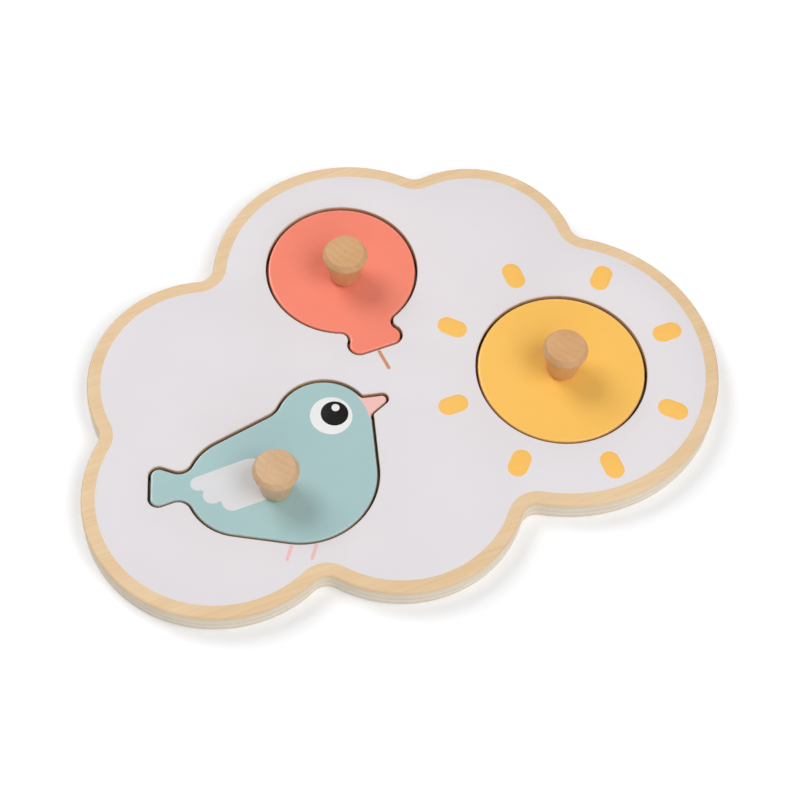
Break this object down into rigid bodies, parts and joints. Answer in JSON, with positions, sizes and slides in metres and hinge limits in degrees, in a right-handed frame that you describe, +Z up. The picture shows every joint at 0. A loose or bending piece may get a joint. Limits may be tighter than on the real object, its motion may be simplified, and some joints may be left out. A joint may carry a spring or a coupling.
{
  "type": "inlay puzzle",
  "caption": "Cloud-shaped wooden inlay puzzle: a tray with pockets for a balloon, a sun and a bird, each lifted out by a turned wooden knob.",
  "frame": {"origin": "middle of the tray's underside, on the surface that the puzzle lies on", "axes": "+X along the tray's length, to the right of the picture; +Y to the picture's upper side; +Z up, out of the picture"},
  "size_m": [0.2994, 0.2256, 0.0304],
  "materials": {
    "birch_ply": "sanded and clear-varnished plywood",
    "printed_board": "plywood with a satin white print and a bare rim",
    "coral_paint": "satin paint on plywood",
    "yellow_paint": "satin paint on plywood",
    "blue_paint": "satin paint on plywood",
    "beech": "turned and sanded, clear",
    "screw_steel": "zinc-plated"
  },
  "bodies": {
    "board": {"backing_board": "birch_ply", "frame_board": "printed_board"},
    "balloon": {"balloon_piece": "coral_paint", "balloon_knob": "beech", "balloon_screw": "screw_steel"},
    "bird": {"bird_piece": "blue_paint", "bird_knob": "beech", "bird_screw": "screw_steel"},
    "sun_axis": {"sun_screw": "screw_steel"},
    "sun": {"sun_piece": "yellow_paint", "sun_knob": "beech"}
  },
  "joints": [
    {"name": "balloon_lift", "type": "slide", "parent": "board", "child": "balloon", "axis": [0, 0, 1], "range_m": [0, 0.06]},
    {"name": "bird_lift", "type": "slide", "parent": "board", "child": "bird", "axis": [0, 0, 1], "range_m": [0, 0.06]},
    {"name": "sun_lift", "type": "slide", "parent": "board", "child": "sun_axis", "axis": [0, 0, 1], "range_m": [0, 0.06]},
    {"name": "sun_turn", "type": "hinge", "parent": "sun_axis", "child": "sun", "pos_m": [0.077, -0.0314, 0.0104], "axis": [0, 0, 1], "continuous": true}
  ]
}
